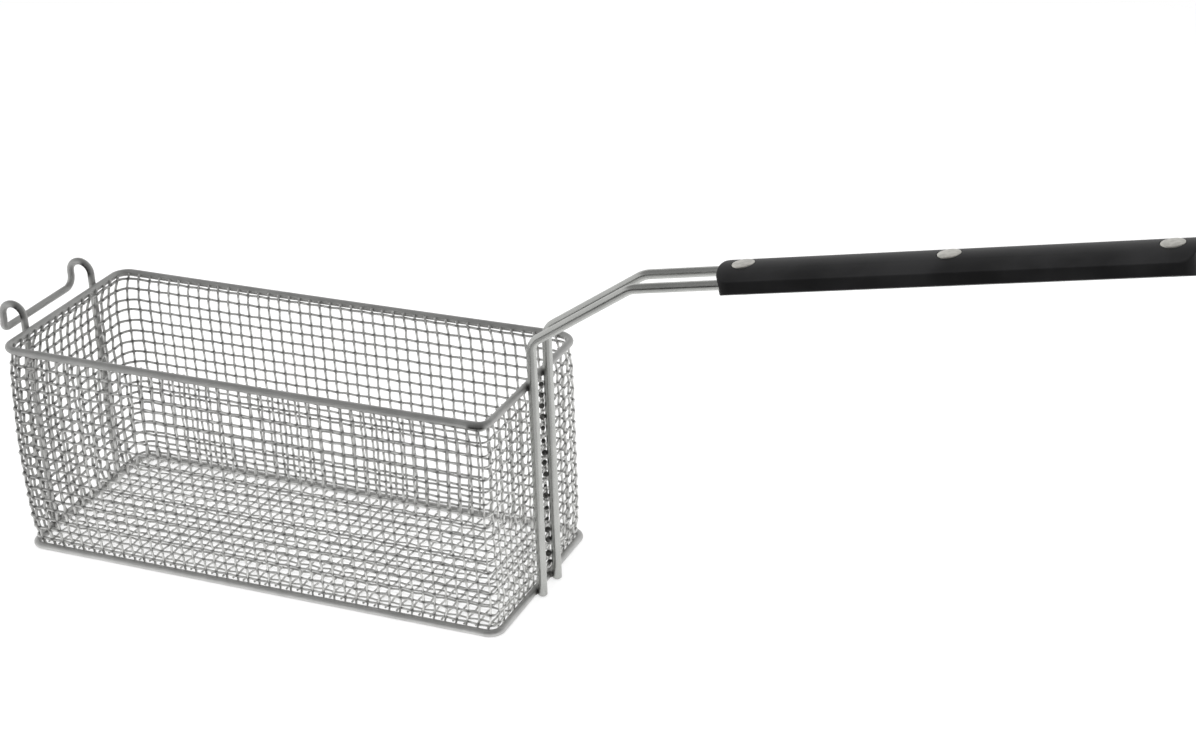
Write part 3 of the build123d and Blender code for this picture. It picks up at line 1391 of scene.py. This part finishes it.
@dataclass
class Grip:
    """The two moulded shells, as packed, and the three rivets that close them on the rod.

    Args:
        shank: the rivets' shank radius.
        head: their head radius.
        seat: how far from the grip's middle level each head begins.
        edge: how high a head's side is.
        crown: how high a head's middle is.
        shoulder: how round its edge is.
        dome_steps: how many rings of vertices the dome has.
        shoulder_steps: how many the shoulder has.
        sides: how many sides a rivet has.
        smooth_angle: the sharpest edge that is shaded smooth, in degrees.
    """

    shank: float = 2.5
    head: float = 6.75
    seat: float = 7.5
    edge: float = 1.05
    crown: float = 1.6
    shoulder: float = 0.5
    dome_steps: int = 7
    shoulder_steps: int = 4
    sides: int = 64
    smooth_angle: float = 40.0

    def build(self, plastic: Coat, metal: Coat) -> None:
        """Dresses the shells and turns the rivets.

        Args:
            plastic: the shells' finish.
            metal: the rivets' finish.
        """
        for name in ("grip_upper_shell", "grip_lower_shell"):
            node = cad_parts[name]
            node.data.materials.clear()
            node.data.materials.append(plastic.material)
            log.info("%s: %s", name, plastic.material.name)
        places = {end: Extent.of(f"grip_rivet_{end}").middle for end in ("front", "middle", "rear")}
        along = unit(places["rear"] - places["front"])
        above = np.array([-along[2], 0.0, along[0]])
        for end, place in places.items():
            dress(self.rivet(f"{end}_rivet", place, along, above), metal, f"grip_rivet_{end}")

    def head_profile(self) -> list[tuple[float, float]]:
        """The outline of one head.

        Returns:
            Radius and height of each ring, from its seat over its round shoulder to its middle.
        """
        turned = np.linspace(0, math.pi / 2, self.shoulder_steps)
        rim = self.head - self.shoulder
        side = self.seat + self.edge - self.shoulder
        points = [(self.head, self.seat)]
        points += [(rim + self.shoulder * math.cos(a), side + self.shoulder * math.sin(a)) for a in turned]
        rise = self.crown - self.edge
        for share in np.linspace(1, 0, self.dome_steps)[1:-1]:
            points.append((rim * share, self.seat + self.edge + rise * (1 - share**2)))
        return points

    def rivet(self, name: str, place: np.ndarray, along: np.ndarray, above: np.ndarray) -> bpy.types.Object:
        """Turns one rivet with a head at each end.

        Args:
            name: the piece's name.
            place: its middle.
            along: the grip's direction.
            above: the direction of its shank.

        Returns:
            The piece, in place.
        """
        head = self.head_profile()
        profile = [(radius, -height) for radius, height in reversed(head)]
        profile += [(self.shank, -self.seat), (self.shank, self.seat)] + head
        angles = 2 * math.pi * np.arange(self.sides) / self.sides
        beside = np.cross(above, along)
        spokes = np.cos(angles)[:, None] * along + np.sin(angles)[:, None] * beside
        rows = [place + radius * spokes + height * above for radius, height in profile]
        poles = [place + sign * (self.seat + self.crown) * above for sign in (-1, 1)]
        vertices = np.concatenate([*rows, poles])
        index = np.arange(len(rows) * self.sides).reshape(len(rows), self.sides)
        after = np.roll(index, -1, axis=1)
        quads = np.stack([index[:-1], after[:-1], after[1:], index[1:]], axis=-1).reshape(-1, 4)
        low, high = index.size, index.size + 1
        faces = quads.tolist()
        faces += [[low, second, first] for first, second in zip(index[0], after[0])]
        faces += [[high, first, second] for first, second in zip(index[-1], after[-1])]
        mesh = bpy.data.meshes.new(name)
        mesh.from_pydata((vertices * MM).tolist(), [], faces)
        mesh.shade_smooth()
        mesh.set_sharp_from_angle(angle=math.radians(self.smooth_angle))
        return placed(name, mesh)


@dataclass(frozen=True)
class Welds:
    """Where the handle's and the hook wire's legs are welded to the two rings.

    Args:
        handle: the handle.
        hooks: the hook wire.
        reach: how far a weld of the handle has burnt a ring.
        rod_reach: how far it has burnt the rod.
        tie_reach: how far a tie to the wall has burnt the rod.
        painted_streak_reach: how far the painted dark reflection under the rim's near side reaches.
        painted_streak_rise: how far above the rim's lowest line that painted reflection is.
        painted_streak_insets: how far in from the rim's length and width it runs.
    """

    handle: Handle
    hooks: HookWire
    reach: float = 2.7
    rod_reach: float = 2.6
    tie_reach: float = 2.8
    painted_streak_reach: float = 2.2
    painted_streak_rise: float = 0.9
    painted_streak_insets: Table = ((11.0, 0.5), (9.0, 0.5), (7.0, 0.7), (5.0, 1.5))

    def of_rods(self, *rings: str) -> np.ndarray:
        """The touching points of the handle's legs.

        Args:
            rings: the rings that they touch.

        Returns:
            The points, one row each.
        """
        side = self.handle.rod_side
        extents = [Extent.of(ring) for ring in rings]
        return np.array([(each.high[0], y, each.middle[2]) for each in extents for y in (-side, side)])

    def of_hooks(self, *rings: str) -> np.ndarray:
        """The touching points of the hook wire's legs.

        Args:
            rings: the rings that they touch.

        Returns:
            The points, one row each.
        """
        sides = (self.hooks.near_y, self.hooks.far_y)
        extents = [Extent.of(ring) for ring in rings]
        return np.array([(each.low[0], y, each.middle[2]) for each in extents for y in sides])

    def on_ring(self, ring: str) -> np.ndarray:
        """The spots that the handle's welds have burnt on one ring."""
        return spots(self.of_rods(ring), self.reach)

    def on_rod(self, ties: np.ndarray) -> np.ndarray:
        """The spots that its welds to the rings and its ties to the wall have burnt on the rod."""
        return np.vstack([spots(self.of_rods(*RINGS), self.rod_reach), spots(ties, self.tie_reach)])

    def seam(self) -> np.ndarray:
        """A painted dark reflection under the rim's near side, by its near-right bend.

        Returns:
            The painted spots, one row each.
        """
        # painted reflection: a dark streak on the rim's lower side before its near-right bend
        extent = Extent.of("top_rim")
        x, (_, y, z) = extent.high[0], extent.low
        places = [(x - along, y + across, z + self.painted_streak_rise) for along, across in self.painted_streak_insets]
        return spots(np.array(places), self.painted_streak_reach)


@dataclass
class WeldBeads:
    """Small beads where wires are welded together.

    Args:
        name: the piece's name.
        radius: a bead's radius in the middle.
        half_length: how far it reaches to either side.
        burn: how far the plate is burnt round each.
        unevenness: how much the beads differ in size.
        lumps: the least and the most that a bead's radius varies along it.
        wobble: how much its middle line strays.
        reach: the share of a full oval that is drawn, up to its blunt ends.
        samples: how many rings of vertices a bead has.
        sides: how many sides it has.
    """

    name: str
    radius: float
    half_length: float
    burn: float = 4.0
    unevenness: float = 0.1
    lumps: tuple[float, float] = (0.88, 1.12)
    wobble: float = 0.16
    reach: float = 0.97
    samples: int = 9
    sides: int = 14

    def build(self, welds: np.ndarray, coat: Coat) -> None:
        """Lays one bead across each weld.

        Args:
            welds: the touching points.
            coat: the plate round them.
        """
        rng = Draws.BEADS.source()
        along = np.linspace(-self.reach, self.reach, self.samples)
        bundle = WireBundle(self.sides, spots(welds, self.burn))
        for weld in welds:
            path = np.tile(weld, (1, self.samples, 1))
            path[..., 1] += along * self.half_length
            path += rng.normal(0, self.wobble, path.shape)
            swell = np.sqrt(1 - along**2) * rng.uniform(*self.lumps, self.samples)
            radius = self.radius * rng.uniform(1 - self.unevenness, 1 + self.unevenness)
            bundle.lay(path, radius, UP, WireEnds.CUT, swell)
        dress(bundle.piece(self.name), coat)


@dataclass(frozen=True)
class Camera:
    """The photograph's viewpoint, solved from its perspective.

    Args:
        eye: where the lens is.
        azimuth: how far round from straight on, in degrees.
        fall: how far it looks down, in degrees.
        roll: how far it leans, in degrees.
        lens: its focal length.
        sensor: how wide its sensor is.
        clip: the nearest and the farthest that it sees, in metres.
    """

    eye: tuple[float, float, float] = (701.885, -1129.815, 734.788)
    azimuth: float = 23.423
    fall: float = 25.128
    roll: float = -1.939
    lens: float = 68.71
    sensor: float = 36.0
    clip: tuple[float, float] = (0.05, 30.0)

    def build(self) -> None:
        """Makes the scene's camera."""
        turn, fall, roll = (math.radians(angle) for angle in (self.azimuth, self.fall, self.roll))
        ahead = Vector((-math.sin(turn) * math.cos(fall), math.cos(turn) * math.cos(fall), -math.sin(fall)))
        level = Vector((math.cos(turn), math.sin(turn), 0.0))
        upright = level.cross(ahead)
        right = math.cos(roll) * level + math.sin(roll) * upright
        top = math.cos(roll) * upright - math.sin(roll) * level
        data = bpy.data.cameras.new("camera")
        data.lens = self.lens
        data.sensor_fit = "HORIZONTAL"
        data.sensor_width = self.sensor
        data.clip_start, data.clip_end = self.clip
        made = placed("camera", data)
        turned = Matrix((right, top, -ahead)).transposed().to_4x4()
        made.matrix_world = Matrix.Translation(Vector(self.eye) * MM) @ turned
        bpy.context.scene.camera = made


@dataclass(frozen=True)
class Lamp:
    """A soft square lamp that points at the basket.

    Args:
        name: its name.
        place: where it hangs.
        size: how long its side is.
        power: how strong it is, in watts.
    """

    name: str
    place: tuple[float, float, float]
    size: float
    power: float

    def build(self, target: Vector) -> None:
        """Hangs the lamp and aims it.

        Args:
            target: the point that it faces, in metres.
        """
        data = bpy.data.lights.new(self.name, "AREA")
        data.size = self.size * MM
        data.energy = self.power
        made = placed(self.name, data)
        made.location = Vector(self.place) * MM
        made.rotation_euler = (made.location - target).to_track_quat("Z", "Y").to_euler()
        made.visible_camera = False
        made.visible_glossy = False


@dataclass(frozen=True)
class Studio:
    """A pale floor under a pale sky, with the dim ceiling and the dark front that only gloss shows.

    The cards, the floor and the lamps' target are placed in metres.

    Args:
        lamps: the lamps.
        target: the point that they face.
        floor_tone: the floor's colour.
        floor_glow: how much it shines by itself to the camera and in gloss.
        floor_half: how far it reaches from the middle.
        ceiling: how bright gloss sees the ceiling.
        fill: how bright the air is for matt surfaces.
        horizon: the heights between which gloss goes from white to ceiling.
        backdrop: how much higher the white reaches behind the basket.
        side_wall: how much higher it reaches on the hooks' side.
        facing: how squarely gloss has to face the backdrop for its full height.
        side_facing: the same for the side wall.
        flag_tone: how bright gloss sees the dark front.
        flag_front: how far in front of the basket it stands.
        flag_span: its left and right edges.
        flag_height: its top edge.
        mat_tone: how bright gloss sees the floor before that.
        mat_near: where that dimmer floor ends, at the basket.
        mat_span: its left and right edges.
        card_lift: how far the cards are above the floor.
    """

    lamps: tuple[Lamp, ...] = (
        Lamp("overhead_lamp", (150, -150, 1900), 1500, 34.0),
        Lamp("left_lamp", (-1500, -1100, 1200), 900, 12.0),
        Lamp("right_lamp", (1700, -900, 1000), 900, 9.0),
    )
    target: tuple[float, float, float] = (0.16, 0.0, 0.12)
    floor_tone: float = 0.4
    floor_glow: float = 0.66
    floor_half: float = 1.4
    ceiling: float = 0.36
    fill: float = 0.42
    horizon: tuple[float, float] = (0.03, 0.16)
    backdrop: float = 0.66
    side_wall: float = 0.5
    facing: tuple[float, float] = (0.1, 0.85)
    side_facing: tuple[float, float] = (0.45, 0.9)
    flag_tone: float = 0.05
    flag_front: float = -0.50
    flag_span: tuple[float, float] = (-0.2, 1.5)
    flag_height: float = 0.31
    mat_tone: float = 0.78
    mat_near: float = -0.1
    mat_span: tuple[float, float] = (-0.6, 1.5)
    card_lift: float = 0.001

    def build(self) -> None:
        """Makes the floor, the cards, the world and the lamps."""
        self.floor()
        self.cards()
        self.world()
        for lamp in self.lamps:
            lamp.build(Vector(self.target))

    @staticmethod
    def plate(
        name: str,
        corners: Sequence[tuple[float, float, float]],
        material: bpy.types.Material,
    ) -> bpy.types.Object:
        """Makes a flat stage piece.

        Args:
            name: its name.
            corners: its corners, in metres.
            material: its material.

        Returns:
            The piece, in the scene.
        """
        mesh = bpy.data.meshes.new(name)
        mesh.from_pydata(list(corners), [], [tuple(range(len(corners)))])
        mesh.materials.append(material)
        made = placed(name, mesh)
        return made

    def cards(self) -> None:
        """Hangs a dark card in front of the basket and lays a dim one on the floor there."""
        (left, right), front, low = self.flag_span, self.flag_front, self.card_lift
        top = self.flag_height
        upright = [(left, front, low), (right, front, low), (right, front, top), (left, front, top)]
        self.card("dark_flag", upright, self.flag_tone)
        (left, right), near = self.mat_span, self.mat_near
        level = [(left, front, low), (right, front, low), (right, near, low), (left, near, low)]
        self.card("front_mat", level, self.mat_tone)

    def card(self, name: str, corners: Sequence[tuple[float, float, float]], tone: float) -> None:
        """Makes a card of one tone that shows in reflections and nowhere else.

        Args:
            name: its name.
            corners: its corners, in metres.
            tone: how bright it is.
        """
        material, graph = blank_material(name)
        glow = graph.signal("ShaderNodeEmission", 0, {}, {"Color": tone, "Strength": 1.0})
        graph.node("ShaderNodeOutputMaterial", {}, {"Surface": glow})
        made = self.plate(name, corners, material)
        made.visible_camera = False
        made.visible_diffuse = False
        made.visible_shadow = False
        made.visible_transmission = False

    @staticmethod
    def seen(graph: Graph) -> Signal:
        """Finds the rays that show the background: straight, mirrored or refracted.

        Args:
            graph: the graph that asks.

        Returns:
            1 for such a ray, and 0 for any other.
        """
        kinds = ("Is Camera Ray", "Is Glossy Ray", "Is Transmission Ray")
        straight, mirrored, refracted = (graph.signal("ShaderNodeLightPath", kind) for kind in kinds)
        either = {0: straight + refracted, 1: mirrored}
        return graph.signal("ShaderNodeMath", 0, {"operation": "MAXIMUM"}, either)

    def floor(self) -> None:
        """A plain pale floor that keeps the basket's shadow."""
        material, graph = blank_material("pale_floor")
        matt = graph.signal("ShaderNodeBsdfDiffuse", 0, {}, {"Color": self.floor_tone})
        strength = self.floor_glow * self.seen(graph)
        glow = graph.signal("ShaderNodeEmission", 0, {}, {"Color": 1.0, "Strength": strength})
        both = graph.signal("ShaderNodeAddShader", 0, {}, {0: matt, 1: glow})
        graph.node("ShaderNodeOutputMaterial", {}, {"Surface": both})
        half = self.floor_half
        corners = [(-half, -half, 0), (half, -half, 0), (half, half, 0), (-half, half, 0)]
        self.plate("floor", corners, material)

    def world(self) -> None:
        """White to the camera, a dim ceiling in mirrors, and a soft fill for the rest."""
        world = bpy.data.worlds.new("studio_air")
        world.use_nodes = True
        bpy.context.scene.world = world
        graph = Graph(world.node_tree)
        direction = graph.signal("ShaderNodeTexCoord", "Generated")
        along, behind, height = (
            graph.signal("ShaderNodeSeparateXYZ", axis, {}, {0: direction}) for axis in ("X", "Y", "Z")
        )
        mirrored = graph.signal("ShaderNodeLightPath", "Is Glossy Ray")
        straight = self.seen(graph) - mirrored
        wall = self.side_wall * (0 - along).risen(*self.side_facing)
        above = height - self.backdrop * behind.risen(*self.facing) - wall
        air = 1 - (1 - self.ceiling) * above.risen(*self.horizon)
        rest = 1 - straight - mirrored
        strength = straight + mirrored * air + rest * self.fill
        shader = graph.signal("ShaderNodeBackground", 0, {}, {"Color": 1.0, "Strength": strength})
        graph.node("ShaderNodeOutputWorld", {}, {"Surface": shader})


def main() -> None:
    """Builds the basket from the base up, then the studio and the camera."""
    logging.basicConfig(level=logging.INFO, format="%(name)s %(message)s")
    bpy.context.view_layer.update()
    ring_plate = PlatedWire("ring_nickel", "ring_plate", (0.53, 0.53, 0.52), roughness=0.64).coat()
    # painted light: the base ring is a lighter copy of the ring plate, standing in for the floor's bright
    # reflection
    painted_light_base_plate = PlatedWire("base_nickel_painted_light", "ring_plate", (0.60, 0.60, 0.59), roughness=0.58).coat()
    mesh_plate = PlatedWire("mesh_nickel", "mesh_plate", (0.75, 0.75, 0.735), roughness=0.46).coat()
    rod_finish = PlatedWire("rod_nickel", "rod_plate", (0.455, 0.46, 0.445), roughness=0.27, tone_swing=0.12)
    hooks, handle, wall = HookWire(), Handle(), WallWeave()
    welds, ties = Welds(handle, hooks), wall.ties(handle)
    base_ring = Ring("base_ring", "base_ring_wire", Draws.BASE_RING, radii=(8.2, 8.2, 8.4, 8.4))
    base_ring.build(welds.on_ring("base_ring"), painted_light_base_plate)
    rim = Ring("top_rim", "rim_ring_wire", Draws.RIM, radii=(6.8, 13.0, 9.6, 9.6), dip=0.5)
    # the rim gets its weld burns and a painted dark reflection by its near-right bend
    rim.build(np.vstack([welds.on_ring("top_rim"), welds.seam()]), ring_plate)
    FloorWeave().build(mesh_plate)
    wall.build(ties, mesh_plate)
    hooks.build(ring_plate)
    handle.build(welds.on_rod(ties), rod_finish.coat())
    rod_beads = WeldBeads("weld_beads", radius=1.1, half_length=3.4)
    rod_beads.build(welds.of_rods(*RINGS), ring_plate)
    hook_beads = WeldBeads("hook_beads", radius=1.3, half_length=2.4, burn=0.1)
    hook_beads.build(welds.of_hooks(*RINGS), ring_plate)
    tie_beads = WeldBeads("tie_beads", radius=1.35, half_length=1.6, unevenness=0.45)
    tie_beads.build(ties, mesh_plate)
    grip_plastic = MouldedGrip("grip_black", "grip_plastic").coat()
    Grip().build(grip_plastic, RivetMetal("rivet_satin", "rivet_metal").coat())
    Camera().build()
    Studio().build()
    bpy.context.scene.view_settings.view_transform = "Standard"


if __name__ == "__main__":
    main()
